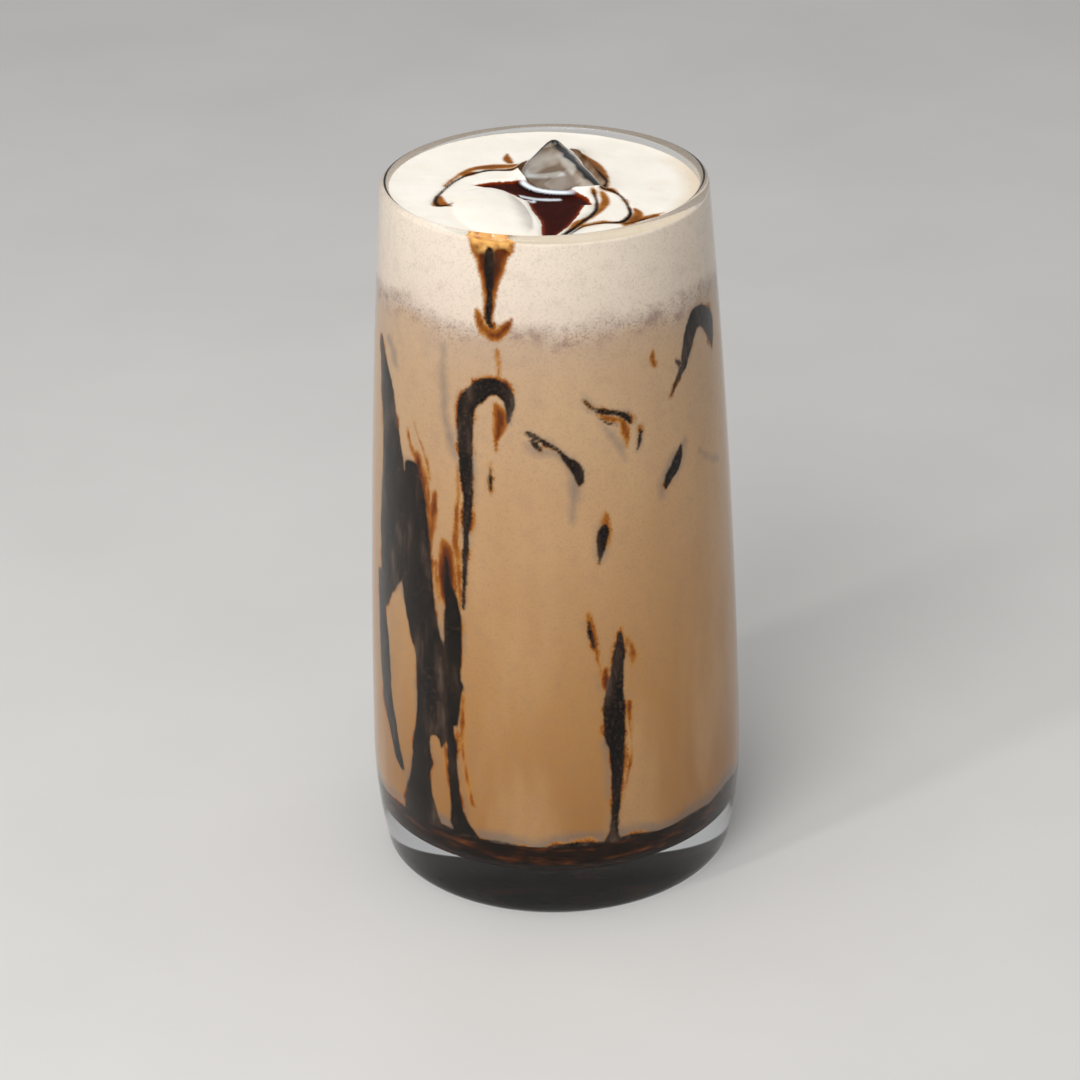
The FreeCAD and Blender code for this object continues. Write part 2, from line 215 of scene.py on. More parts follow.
# Milk left clear inside a dark run.
WALL_GAPS = [
    [(-39, 67.5, 0.8), (-39, 63, 1.0), (-39.5, 60, 0.7), (-39.5, 58, 0.15)],
    [(-41.5, 33.5, 1.1), (-41, 31, 1.6), (-40, 29, 1.3), (-38.5, 26, 0.9), (-37.5, 24, 0.2)],
    [(-33.5, 37.5, 0.3), (-33, 35.5, 0.3), (-33, 34.5, 0.15)],
]

# ---------------------------------------------------------------- syrup on the foam
# A swirl is a line of (x, y, half width), all in mm.

FOAM_DARK = [
    [(-4.5, 8, 0.45), (-9, 8.5, 0.4), (-12.5, 7, 0.4), (-15.5, 3.5, 0.3), (-17.5, -1, 0.3),
     (-19, -5.5, 0.4), (-18.5, -8.5, 0.5), (-17, -8.5, 0.35), (-16, -7.5, 0.1)],
    [(8.5, -2.5, 0.25), (9, -7, 0.3), (8.5, -12, 0.4), (6, -17, 0.4), (3, -22.5, 0.45), (1.5, -24.5, 0.3)],
    [(10, -1.5, 0.35), (12, -2.5, 0.35), (13.5, -5, 0.25), (14.5, -10, 0.25), (14.5, -13.5, 0.4),
     (13, -16.5, 0.5), (10, -17, 0.3), (6.5, -18.5, 0.25), (4, -22.5, 0.15)],
    [(6.5, 10.5, 0.5), (8.5, 6.5, 1.1), (10, 2.5, 1.1), (10.5, -1, 0.45)],
    [(13.5, -17.5, 0.2), (16, -16, 0.3), (19, -13.5, 0.1)],
]

FOAM_AMBER = [
    [(-5.5, 10, 1.1), (-9, 10, 1.2), (-12.5, 9, 0.9), (-15.5, 5, 0.5), (-17.5, 0.5, 0.4)],
    [(-6.5, 16.5, 0.25), (-6.5, 14, 0.9), (-6, 12, 0.8)],
    [(-18.5, -4.5, 0.7), (-18, -7.5, 0.9), (-16.5, -9, 0.5)],
    [(5, 15, 0.6), (7.5, 12.5, 1.3), (9, 9, 1.7), (10, 4.5, 1.5), (10.5, 0.5, 1.0)],
    [(10, -3, 0.5), (10.5, -7, 0.9), (9.5, -11, 0.8), (8, -14.5, 0.4)],
    [(15.5, -10.5, 0.4), (16, -13, 1.0), (15, -16, 1.2), (13.5, -18.5, 0.5)],
    [(16, -15.5, 0.7), (18, -14, 0.6), (20.5, -12.5, 0.2)],
]

# The dark pool of syrup between the ice and the swell, and its wing to the left.
FOAM_PUDDLE = [
    [(-12, 1.5, 0.3), (-9.5, 1.5, 1.4), (-6, 1, 2.4), (-3.5, -1.5, 2.6), (0, -4.5, 3.2), (4.5, -5.5, 2.8),
     (7.5, -7.5, 0.7)],
    [(2, -6.5, 5.0), (2, -10, 4.3), (2, -14, 3.2), (1.5, -18, 2.2), (0.5, -22, 1.3), (0.5, -24.5, 0.5)],
]

# Painted shade on the steep side of the swell, stored in the foam's veil field.
FOAM_MOUND_SHADE = [
    [(-5.5, -6.5, 0.4), (-4.5, -10.5, 0.8), (-3.5, -15, 0.9), (-3, -20, 0.6)],
]

# Painted highlights: glints on the puddle, and bright streaks under the ice that show through it.
FOAM_GLINTS = [
    [(-4.5, -3, 0.1), (-2, -4.5, 0.15), (0.5, -5, 0.2), (2.5, -5, 0.1)],
    [(-3, -5.5, 0.1), (-2.5, -6, 0.1)],
    [(-2, -5.5, 0.1), (-2, -6, 0.1)],
    [(-1.5, 9.5, 0.15), (1, 8.5, 0.5), (3.5, 9.5, 0.2)],
    [(5.5, 10.5, 0.5), (5, 13, 0.9), (4.5, 15.5, 0.3)],
]

# Depths into a streak, in mm: the most that thin syrup counts, and how far outside one is still told.
AMBER_REACH = 1.3
FAR = 3.0
BACK_STREAK_SEED = 12
BACK_STREAKS = 13
BACK_LEAST_WIDTH = 0.55
BUBBLE_SEED = 5
BUBBLE_COUNT = 46
BUBBLE_SEGMENTS = 16
BUBBLE_RINGS = 9

# ---------------------------------------------------------------- the glass's outline


def bowed_radius(height, low, high, arc_radius):
    """Radius at a height on the outward arc from low to high, each given as (radius, height)."""
    (low_radius, low_height), (high_radius, high_height) = low, high
    rise, run = high_height - low_height, high_radius - low_radius
    chord = math.hypot(rise, run)
    sink = math.sqrt(arc_radius**2 - (chord / 2) ** 2)
    centre_radius = (low_radius + high_radius) / 2 - sink * rise / chord
    centre_height = (low_height + high_height) / 2 + sink * run / chord
    return centre_radius + np.sqrt(arc_radius**2 - (height - centre_height) ** 2)


def outer_radius(height):
    """Radius of the glass's outside: a flare up to the belly, then the long side."""
    height = np.asarray(height, dtype=float)
    belly = (BELLY_RADIUS, BELLY_HEIGHT)
    flare = bowed_radius(height, (FOOT_RADIUS, 0), belly, FLARE_ARC_RADIUS)
    side = bowed_radius(height, belly, (RIM_RADIUS, HEIGHT), SIDE_ARC_RADIUS)
    radius = np.where(height < BELLY_HEIGHT, flare, side)
    foot_drop = np.clip(FOOT_ROUND - height, 0, FOOT_ROUND)
    return radius - FOOT_ROUND + np.sqrt(FOOT_ROUND**2 - foot_drop**2)


def inner_radius(height):
    """Radius of the glass's inside: a rounded corner at the floor, then one wall inside the outside."""
    height = np.asarray(height, dtype=float)
    belly_radius = BELLY_RADIUS - WALL
    side = bowed_radius(
        height, (belly_radius, BELLY_HEIGHT), (RIM_RADIUS - WALL, HEIGHT), SIDE_ARC_RADIUS - WALL
    )
    radius = np.where(height < BELLY_HEIGHT, belly_radius, side)
    corner_drop = np.clip(BASE_THICKNESS + FLOOR_CORNER_RADIUS - height, 0, FLOOR_CORNER_RADIUS)
    return radius - FLOOR_CORNER_RADIUS + np.sqrt(FLOOR_CORNER_RADIUS**2 - corner_drop**2)


def glass_outline():
    """The glass's half section: from its underside round the rim to the middle of its floor."""
    underside = np.linspace(0, PUNT_RADIUS, 10)
    points = [(r, PUNT_DEPTH * (1 - (r / PUNT_RADIUS) ** 2)) for r in underside[1:]]
    rim_middle = (RIM_RADIUS - WALL / 2, HEIGHT - WALL / 2)
    foot = FOOT_ROUND * (1 - np.cos(np.linspace(0, math.pi / 2, 8)))
    flare = np.linspace(FOOT_ROUND, BELLY_HEIGHT, 14)[1:]
    side = np.linspace(BELLY_HEIGHT, rim_middle[1], 48)[1:]
    for height in np.concatenate([foot, flare, side]):
        points.append((float(outer_radius(height)), height))
    for turn in np.linspace(0, math.pi, 12)[1:-1]:
        points.append((rim_middle[0] + WALL / 2 * math.cos(turn), rim_middle[1] + WALL / 2 * math.sin(turn)))
    corner_top = BASE_THICKNESS + FLOOR_CORNER_RADIUS
    inside = np.linspace(rim_middle[1], corner_top, 48)
    corner = corner_top - FLOOR_CORNER_RADIUS * np.sin(np.linspace(0, math.pi / 2, 10))[1:]
    for height in np.concatenate([inside, corner]):
        points.append((float(inner_radius(height)), height))
    return points


# ---------------------------------------------------------------- meshes


def even_angles(segments):
    return np.linspace(-math.pi, math.pi, segments, endpoint=False)


def front_angles(segments):
    """Angles that lie closer together at the front, where the streaks are finest."""
    front = int(segments * FRONT_SHARE)
    back = segments - front
    fine = np.linspace(-FRONT_HALF_ANGLE, FRONT_HALF_ANGLE, front)
    coarse = np.linspace(FRONT_HALF_ANGLE, math.tau - FRONT_HALF_ANGLE, back + 2)[1:-1]
    return np.concatenate([fine, coarse])


def spin(radii, heights, angles):
    """Rings of points round the axis: radii and heights are (rings,) or (rings, segments) arrays."""
    segments = len(angles)
    radii = np.broadcast_to(np.asarray(radii).reshape(len(radii), -1), (len(radii), segments))
    heights = np.broadcast_to(np.asarray(heights).reshape(len(heights), -1), (len(heights), segments))
    return np.stack([radii * np.sin(angles), -radii * np.cos(angles), heights], axis=2)


def mesh_object(name, points, faces):
    mesh = bpy.data.meshes.new(name)
    mesh.from_pydata([tuple(p) for p in points], [], faces)
    mesh.validate()
    mesh.polygons.foreach_set("use_smooth", [True] * len(mesh.polygons))
    mesh.update()
    made = bpy.data.objects.new(name, mesh)
    bpy.context.scene.collection.objects.link(made)
    return made


def ring_solid(name, rings, tucked=False):
    """A closed mesh of rings, capped at both ends by a point on the axis; a tucked ring is the first one."""
    count, segments, _ = rings.shape
    points = rings.reshape(-1, 3)
    caps = [(0, 0, rings[0, :, 2].mean()), (0, 0, rings[-1, :, 2].mean())]
    first_cap, last_cap = count * segments, count * segments + 1
    faces = []
    for ring in range(count - 1):
        low, high = ring * segments, (ring + 1) * segments
        for k in range(segments):
            after = (k + 1) % segments
            faces.append((low + k, low + after, high + after, high + k))
    top = (count - 1) * segments
    for k in range(segments):
        after = (k + 1) % segments
        faces.append((first_cap, after, k))
        faces.append((last_cap, top + k, top + after))
    made = mesh_object(name, list(points) + caps, faces)
    edge_rings = [0, count - 1] + ([1] if tucked else [])
    for edge in made.data.edges:
        a, b = edge.vertices
        if a // segments == b // segments and a // segments in edge_rings:
            edge.use_edge_sharp = True
    unwrap_rings(made, rings)
    return made


def unwrap_rings(made, rings):
    """The baking layout: round the axis across, and along the section up."""
    count, segments, _ = rings.shape
    steps = np.linalg.norm(np.diff(rings[:, 0], axis=0), axis=1)
    along = np.concatenate([[0], np.cumsum(steps)])
    rows = 0.02 + 0.96 * along / along[-1]
    layout = made.data.uv_layers.new(name="OFBake")
    for face in made.data.polygons:
        indices = list(face.vertices)
        columns = [i % segments for i in indices]
        wraps = max(columns[:4]) == segments - 1 and 0 in columns
        for loop, index in zip(face.loop_indices, indices):
            if index >= count * segments:
                row = 0.0 if index == count * segments else 1.0
                column = next(i % segments for i in indices if i < count * segments)
            else:
                row, column = rows[index // segments], index % segments
            if wraps and column == 0:
                column = segments
            layout.data[loop].uv = (column / segments, row)


def set_field(made, name, values):
    field = made.data.attributes.new(name, "FLOAT", "POINT")
    field.data.foreach_set("value", np.asarray(values, dtype=np.float32))


def points_of(made):
    flat = np.empty(len(made.data.vertices) * 3)
    made.data.vertices.foreach_get("co", flat)
    return flat.reshape(-1, 3)


# ---------------------------------------------------------------- streak fields


def smooth_line(points, steps=6):
    """A smooth line through the given points, as rows of the same columns."""
    rows = np.array([points[0], *points, points[-1]], dtype=float)
    sampled = []
    for a, b, c, d in zip(rows, rows[1:], rows[2:], rows[3:]):
        bend, twist = 2 * a - 5 * b + 4 * c - d, 3 * b - a - 3 * c + d
        for t in np.linspace(0, 1, steps, endpoint=False):
            sampled.append(0.5 * (2 * b + (c - a) * t + bend * t**2 + twist * t**3))
    sampled.append(rows[-1])
    return np.array(sampled)


def depth_in_lines(lines, across, along, stretch, periodic=False):
    """How far each point lies inside the nearest line, in mm, and negative outside, down to -FAR.

    across times stretch is in mm, and so is along; a periodic across is in degrees.
    """
    depth = np.full(across.shape, -FAR)
    for line in lines:
        path = smooth_line(line)
        middle = path[:, 0].mean()
        place = (across - middle + 180) % 360 - 180 + middle if periodic else across
        reach = path[:, 2].max() + FAR
        near = (
            (along > path[:, 1].min() - reach)
            & (along < path[:, 1].max() + reach)
            & ((place - path[:, 0].min()) * stretch > -reach)
            & ((place - path[:, 0].max()) * stretch < reach)
        )
        u, v, s = place[near], along[near], stretch[near]
        inside = np.full(u.shape, -FAR)
        for (u0, v0, w0), (u1, v1, w1) in zip(path[:-1], path[1:]):
            run, rise = (u1 - u0) * s, v1 - v0
            du, dv = (u - u0) * s, v - v0
            t = np.clip((du * run + dv * rise) / (run**2 + rise**2 + 1e-9), 0, 1)
            inside = np.maximum(inside, w0 + (w1 - w0) * t - np.hypot(du - t * run, dv - t * rise))
        depth[near] = np.maximum(depth[near], inside)
    return depth


def back_streaks():
    """Runs of syrup on the far side of the wall, of the same kinds as those at the front."""
    draw = np.random.default_rng(BACK_STREAK_SEED)
    dark, amber, veil = [], [], []
    for number in range(BACK_STREAKS):
        angle = 95 + 175 * (number + draw.uniform(0.1, 0.9)) / BACK_STREAKS
        top = draw.uniform(60, 112)
        length = draw.uniform(10, 38) if number % 3 else top - 14
        width = draw.uniform(0.5, 1.3) if number % 3 else draw.uniform(1.3, 2.6)
        sway = draw.uniform(-4, 4, size=5)
        line = []
        for step, shape in enumerate((0.25, 0.8, 1.0, 0.7, 0.15 if number % 3 else 1.2)):
            half_width = max(width * shape, BACK_LEAST_WIDTH)
            line.append((angle + sway[step] * 0.7, top - length * step / 4, half_width))
        dark.append(line)
        side = draw.choice((-1.0, 1.0))
        amber.append([(a + side * w * 1.3, z + 3, w * 0.6) for a, z, w in line[:4]])
        veil.append([(a - side * w, z, w * 0.8 + 0.4) for a, z, w in line])
    return dark, amber, veil


BACK_DARK, BACK_AMBER, BACK_VEIL = back_streaks()


def paint_wall(made):
    """Works out the wall streaks for a piece's points, as fields."""
    points = points_of(made) / MM
    angle = np.degrees(np.arctan2(points[:, 0], -points[:, 1]))
    height = points[:, 2]
    stretch = np.radians(np.hypot(points[:, 0], points[:, 1]))
    dark = depth_in_lines(WALL_DARK + BACK_DARK, angle, height, stretch, periodic=True)
    gaps = depth_in_lines(WALL_GAPS, angle, height, stretch, periodic=True)
    dark = np.minimum(dark, -gaps)
    ragged = 0.35 * np.sin(np.radians(angle * 7)) + 0.3 * np.sin(np.radians(angle * 17 + 40))
    dark = np.maximum(dark, np.clip(SYRUP_LEVEL / MM + 0.5 + ragged - height, -FAR, 2))
    amber = depth_in_lines(WALL_AMBER + BACK_AMBER, angle, height, stretch, periodic=True)
    # The veil field includes the painted sheen along the left edge.
    veil = depth_in_lines(WALL_VEIL_AND_SHEEN + BACK_VEIL, angle, height, stretch, periodic=True)
    settling = SYRUP_LEVEL / MM + 2.4 + 1.5 * ragged - height
    veil = np.maximum(veil, np.clip(settling, -FAR, 1.2))
    return {"dark": dark, "amber": np.minimum(amber, AMBER_REACH), "veil": veil}


# ---------------------------------------------------------------- the ice


def ice_dome(across, along):
    """How far the dome stands out of the cube's melted face."""
    off = np.hypot(across / MM - DOME_SPOT[0], along / MM - DOME_SPOT[1]) / DOME_RADIUS
    return DOME_HEIGHT * MM * np.clip(1 - off**2, 0, 1) ** 1.5


def ice_distance(points):
    """Distance of each point, in metres, from the surface of the rounded cube; negative inside it."""
    pose = np.array(ICE_POSE)
    local = (points - np.array(ICE_CENTRE)) @ pose
    local[:, 2] -= np.where(local[:, 2] > 0, ice_dome(local[:, 0], local[:, 1]), 0)
    local = np.abs(local)
    beyond = local - (ICE_SIDE / 2 - ICE_ROUND)
    outside = np.linalg.norm(np.maximum(beyond, 0), axis=1)
    return outside + np.minimum(beyond.max(axis=1), 0) - ICE_ROUND


def make_ice():
    """The melting cube: its edges run round, and its faces are dished and wavy."""
    steps = 34
    spread = np.sin(np.linspace(-math.pi / 2, math.pi / 2, steps + 1)) * ICE_SIDE / 2
    index, points, faces = {}, [], []

    def corner(spot):
        key = tuple(np.round(spot / MM, 4))
        if key not in index:
            index[key] = len(points)
            points.append(spot)
        return index[key]

    for axis in range(3):
        for side in (-1, 1):
            for i in range(steps):
                for j in range(steps):
                    quad = []
                    for di, dj in ((0, 0), (1, 0), (1, 1), (0, 1)):
                        spot = np.zeros(3)
                        spot[axis] = side * ICE_SIDE / 2
                        spot[(axis + 1) % 3] = spread[i + di]
                        spot[(axis + 2) % 3] = spread[j + dj]
                        quad.append(corner(spot))
                    faces.append(quad if side > 0 else quad[::-1])
    core = ICE_SIDE / 2 - ICE_ROUND
    shaped = []
    for spot in points:
        held = np.clip(spot, -core, core)
        outward = (spot - held) / np.linalg.norm(spot - held)
        wave = noise.noise(Vector(spot) / (6.5 * MM)) + 0.5 * noise.noise(Vector(spot) / (3 * MM))
        melt = ICE_MELT * (0.9 + wave)
        melted = held + outward * (ICE_ROUND - max(melt, 0))
        if melted[2] > 0:
            melted[2] += ice_dome(melted[0], melted[1]) * min(1, melted[2] / core)
        shaped.append(ICE_POSE @ Vector(melted) + ICE_CENTRE)
    made = mesh_object("melting_ice", shaped, faces)
    # The ridge field carries the material's painted shade along the edges.
    middle = [sorted(abs(part) for part in spot)[1] / (ICE_SIDE / 2) for spot in points]
    set_field(made, "ridge", middle)
    return made


# ---------------------------------------------------------------- the drink


def foam_level(x, y):
    """Height of the resting foam, before the swell, the puddle and the ice shape it."""
    bearing = np.array([math.cos(FOAM_TILT_BEARING), math.sin(FOAM_TILT_BEARING)])
    lean = (x * bearing[0] + y * bearing[1]) / (RIM_RADIUS - WALL)
    edge = np.hypot(x, y) / (RIM_RADIUS - WALL)
    meniscus = WALL_MENISCUS * np.exp(-np.clip(1 - edge, 0, 1) * 22)
    return HEIGHT - FOAM_GAP + FOAM_TILT * lean + meniscus


def swell(x, y):
    """The piled-up foam beside the puddle, from 0 at its edge to 1, steeper towards the puddle."""
    dx, dy = x - MOUND_SPOT[0], y - MOUND_SPOT[1]
    lengthwise = (dx * math.cos(MOUND_TURN) + dy * math.sin(MOUND_TURN)) / MOUND_LENGTH
    sideways = (-dx * math.sin(MOUND_TURN) + dy * math.cos(MOUND_TURN)) / MOUND_WIDTH
    steep = np.where(sideways > 0, np.abs(sideways) ** 3.2, np.abs(sideways) ** 1.6)
    return np.clip(1 - lengthwise**2 - steep, 0, 1) ** 0.6


def foam_relief(x, y, dark, puddle, pile):
    """Height of the foam's upper surface, before the ice: swelled, sunk at the syrup, and rippled."""
    level = foam_level(x * MM, y * MM) + MOUND_HEIGHT * pile
    sunk = np.clip((puddle + 0.8) / 1.6, 0, 1)
    sunk_depth = PUDDLE_DEPTH * sunk * sunk * (3 - 2 * sunk)
    level = level - sunk_depth * (1 - np.clip(pile * 5, 0, 1))
    level = level - GROOVE_DEPTH * np.exp(-((np.clip(dark, -FAR, 0.5) - 0.5) ** 2) / 0.35)
    ripple = []
    for a, b in zip(x, y):
        broad = noise.noise(Vector((a, b, 0.3)) / 5.0)
        ripple.append(broad + 0.4 * noise.noise(Vector((a, b, 7.0)) / 1.8))
    return level + RIPPLE_DEPTH * np.array(ripple) * (1 - sunk)


def painted_foot_light(x, y, pit, flat):
    """A painted highlight along the ice's foot, joined by the painted glints, and a painted shade line round
    it.
    """
    in_front = np.clip((4.0 - y) / 2.5, 0, 1) * np.clip((6.5 - x) / 3, 0, 1) * np.clip((x + 7.5) / 2, 0, 1)
    foot = np.clip(1.3 - np.abs(pit + 0.3) / 0.32, 0, 1) * in_front
    shade = np.clip(1.4 - np.abs(pit + 1.05) / 0.35, 0, 1) * in_front
    # Painted highlights from the glint lines.
    pale = np.clip(1 + 2 * depth_in_lines(FOAM_GLINTS, x, y, flat), 0, 1)
    return np.maximum(foot, 0.8 * pale), shade


def shape_foam(points):
    """Gives the foam's upper surface its relief, and returns the fields painted on it."""
    x, y = points[:, 0] / MM, points[:, 1] / MM
    flat = np.ones_like(x)
    dark = depth_in_lines(FOAM_DARK, x, y, flat)
    amber = np.minimum(depth_in_lines(FOAM_AMBER, x, y, flat), AMBER_REACH)
    # On the foam's top the veil field is the painted shade of the swell.
    veil = depth_in_lines(FOAM_MOUND_SHADE, x, y, flat)
    pile = swell(x, y)
    puddle = np.minimum(depth_in_lines(FOAM_PUDDLE, x, y, flat), (0.16 - pile) * 9)

    level = foam_relief(x, y, dark, puddle, pile)
    away = ice_distance(np.column_stack([points[:, 0], points[:, 1], level]))
    cling = CLING_HEIGHT * np.exp(-np.clip(away, 0, None) / (0.75 * MM))
    level = level + cling - PIT_DEPTH * np.clip(-away / (2.2 * MM), 0, 1) ** 1.2
    pit = np.clip(-away / MM, -FAR, FAR)
    # The foot field is a painted highlight, and the shade field a painted shade line.
    foot, shade = painted_foot_light(x, y, pit, flat)
    fields = {"dark": dark, "amber": amber, "veil": veil, "puddle": puddle}
    fields |= {"pit": pit, "foot": foot, "shade": shade}
    return level, fields


def make_foam():
    """The foam: its side against the wall, its modelled top, and a plain underside."""
    segments = FOAM_SEGMENTS
    angles = even_angles(segments)
    side_count = 34
    edge_radius = inner_radius(HEIGHT - FOAM_GAP) + BITE
    rim_ring = spin([edge_radius], [0], angles)[0]
    edge_level, _ = shape_foam(rim_ring)
    share = np.linspace(0, 1, side_count - 1)[:, None]
    heights = FOAM_BASE + share * (edge_level[None, :] - FOAM_BASE)
    side = spin(inner_radius(heights) + BITE, heights, angles)
    side = np.concatenate([tucked_ring(FOAM_BASE, angles), side])

    radii = np.arange(edge_radius - RING_STEP, RING_STEP, -RING_STEP)
    top = spin(radii, np.zeros(len(radii)), angles)
    flat = top.reshape(-1, 3)
    level, fields = shape_foam(flat)
    top[:, :, 2] = level.reshape(len(radii), segments)

    rings = np.concatenate([side, top])
    made = ring_solid("swirled_foam", rings, tucked=True)
    wall_fields = paint_wall(made)
    side_points = side_count * segments
    _, edge_fields = shape_foam(points_of(made)[side_points - segments : side_points])
    total = len(made.data.vertices)
    for name in fields:
        values = np.full(total, 0.0 if name in ("foot", "shade") else -FAR)
        values[side_points : side_points + len(flat)] = fields[name]
        if name in wall_fields:
            values[:side_points] = wall_fields[name][:side_points]
            edge = slice(side_points - segments, side_points)
            values[edge] = np.maximum(values[edge], edge_fields[name])
        values[-1] = fields[name][-1]
        set_field(made, name, values)
    is_top = np.zeros(total)
    is_top[side_points:] = 1
    is_top[-2] = 0
    set_field(made, "upper", is_top)
    return made


def tucked_ring(low, angles):
    """A smaller ring under a layer's edge, which reaches down into the layer below out of sight."""
    return spin([inner_radius(low) - 0.5 * MM], [low - 0.2 * MM], angles)


def make_layer(name, low, high, segments, tucked=True):
    """A layer of the drink between two heights, shaped by the inside of the glass."""
    rows = max(int((high - low) / ROW_STEP), 4)
    heights = np.linspace(low, high, rows)
    angles = front_angles(segments)
    rings = spin(inner_radius(heights) + BITE, heights, angles)
    if tucked:
        rings = np.concatenate([tucked_ring(low, angles), rings])
    made = ring_solid(name, rings, tucked)
    for field, values in paint_wall(made).items():
        set_field(made, field, values)
    return made


def make_lip_syrup():
    """The thin film of syrup on the wall between the foam and the rim, over the front drip."""
    columns, rows = 60, 10
    film = 0.12 * MM
    points, faces = [], []
    for layer in (0, 1):
        for j in range(rows + 1):
            for i in range(columns + 1):
                across = i / columns * 2 - 1
                angle = math.radians(-20 + across * 9.2)
                low = HEIGHT - 3.2 * MM
                high = HEIGHT - WALL / 2 - 0.45 * MM * abs(across) ** 3 - 0.1 * MM * math.sin(across * 9)
                height = low + (high - low) * j / rows
                taper = max(1 - across**6, 0.05)
                radius = float(inner_radius(height)) + 0.05 * MM - layer * film * taper
                points.append((radius * math.sin(angle), -radius * math.cos(angle), height))
    sheet = (columns + 1) * (rows + 1)

    def at(layer, i, j):
        return layer * sheet + j * (columns + 1) + i

    for j in range(rows):
        for i in range(columns):
            for layer in (0, 1):
                quad = [at(layer, i, j), at(layer, i + 1, j), at(layer, i + 1, j + 1), at(layer, i, j + 1)]
                faces.append(quad if layer == 0 else quad[::-1])
    outline = [(i, 0) for i in range(columns)] + [(columns, j) for j in range(rows)]
    outline += [(i, rows) for i in range(columns, 0, -1)] + [(0, j) for j in range(rows, 0, -1)]
    for (i, j), (p, q) in zip(outline, outline[1:] + outline[:1]):
        faces.append([at(0, i, j), at(1, i, j), at(1, p, q), at(0, p, q)])
    return mesh_object("lip_syrup", points, faces)


def bubble_spots():
    """Where the bubbles are, and their radii: along the wall, beside the syrup, and a few elsewhere."""
    draw = np.random.default_rng(BUBBLE_SEED)
    reach = (RIM_RADIUS - WALL) / MM
    spots = []
    while len(spots) < BUBBLE_COUNT:
        near_wall = len(spots) % 2
        distance = reach - draw.uniform(0.5, 1.6) if near_wall else reach * math.sqrt(draw.uniform(0, 0.8))
        turn = draw.uniform(-math.pi, math.pi)
        spot = np.array([[distance * math.sin(turn), -distance * math.cos(turn), 0]]) * MM
        level, fields = shape_foam(spot)
        at_syrup = -1.5 < max(fields["dark"][0], fields["puddle"][0]) < 0.3
        if fields["pit"][0] > -0.8 or not (near_wall or at_syrup or len(spots) % 6 == 0):
            continue
        spots.append((spot[0, 0], spot[0, 1], level[0], draw.uniform(0.14, 0.36) * MM))
    return spots


def add_ball(points, faces, x, y, z, radius):
    """Adds a closed ball to the lists of points and faces."""
    start = len(points)
    for j in range(1, BUBBLE_RINGS):
        lift = math.pi * j / BUBBLE_RINGS
        ring = radius * math.sin(lift)
        for i in range(BUBBLE_SEGMENTS):
            turn = math.tau * i / BUBBLE_SEGMENTS
            points.append((x + ring * math.cos(turn), y + ring * math.sin(turn), z - radius * math.cos(lift)))
    bottom, top = len(points), len(points) + 1
    points += [(x, y, z - radius), (x, y, z + radius)]
    last = start + (BUBBLE_RINGS - 2) * BUBBLE_SEGMENTS
    for i in range(BUBBLE_SEGMENTS):
        after = (i + 1) % BUBBLE_SEGMENTS
        for ring_start in range(start, last, BUBBLE_SEGMENTS):
            a, b = ring_start + i, ring_start + after
            faces.append((a, b, b + BUBBLE_SEGMENTS, a + BUBBLE_SEGMENTS))
        faces.append((bottom, start + after, start + i))
        faces.append((top, last + i, last + after))


def make_bubbles():
    """Small bubbles caught in the foam."""
    points, faces = [], []
    for x, y, z, radius in bubble_spots():
        add_ball(points, faces, x, y, z, radius)
    return mesh_object("foam_bubbles", points, faces)


# ---------------------------------------------------------------- node helpers


def add_node(tree, kind, inputs=None, **settings):
    made = tree.nodes.new(kind)
    for name, value in settings.items():
        setattr(made, name, value)
    for name, value in (inputs or {}).items():
        if isinstance(value, bpy.types.NodeSocket):
            tree.links.new(value, made.inputs[name])
        else:
            made.inputs[name].default_value = value
    return made


def maths(tree, operation, a, b=0.0, clamp=False):
    return add_node(tree, "ShaderNodeMath", {0: a, 1: b}, operation=operation, use_clamp=clamp).outputs[0]


def smooth_step(tree, value, low, high):
    """0 below low, 1 above high, and smooth between them."""
    inputs = {"Value": value, "From Min": low, "From Max": high}
    return add_node(tree, "ShaderNodeMapRange", inputs, interpolation_type="SMOOTHSTEP").outputs["Result"]


def blend_colour(tree, factor, a, b):
    inputs = {"Factor": factor, 6: a, 7: b}
    return add_node(tree, "ShaderNodeMix", inputs, data_type="RGBA").outputs[2]


def field_value(tree, name):
    return add_node(tree, "ShaderNodeAttribute", attribute_name=name).outputs["Fac"]


def object_place(tree):
    return add_node(tree, "ShaderNodeTexCoord").outputs["Object"]


def noise_value(tree, size, detail=2.0, stretch=(1, 1, 1), seed=0.0):
    """Noise with features of that size in metres, from 0 to 1 around a half."""
    placing = {"Vector": object_place(tree), "Scale": stretch, "Location": (seed, seed, seed)}
    moved = add_node(tree, "ShaderNodeMapping", placing).outputs[0]
    inputs = {"Vector": moved, "Scale": 1 / size, "Detail": detail}
    return add_node(tree, "ShaderNodeTexNoise", inputs).outputs["Fac"]


def colour_ramp(tree, value, stops):
    ramp = add_node(tree, "ShaderNodeValToRGB", {"Fac": value})
    elements = ramp.color_ramp.elements
    while len(elements) < len(stops):
        elements.new(1.0)
    for element, (place, colour) in zip(elements, stops):
        element.position = place
        element.color = colour
    return ramp.outputs["Color"]


def tone(red, green, blue):
    """A display colour from 0 to 255, as a linear colour with full alpha."""
    channels = []
    for value in (red, green, blue):
        share = value / 255
        channels.append(share / 12.92 if share <= 0.04045 else ((share + 0.055) / 1.055) ** 2.4)
    return (*channels, 1.0)


def new_group(name, inputs, outputs):
    """An empty node group with those sockets, each (name, socket type)."""
    group = bpy.data.node_groups.new(name, "ShaderNodeTree")
    for socket, kind in inputs:
        group.interface.new_socket(socket, in_out="INPUT", socket_type=kind)
    for socket, kind in outputs:
        group.interface.new_socket(socket, in_out="OUTPUT", socket_type=kind)
    return group, group.nodes.new("NodeGroupInput"), group.nodes.new("NodeGroupOutput")


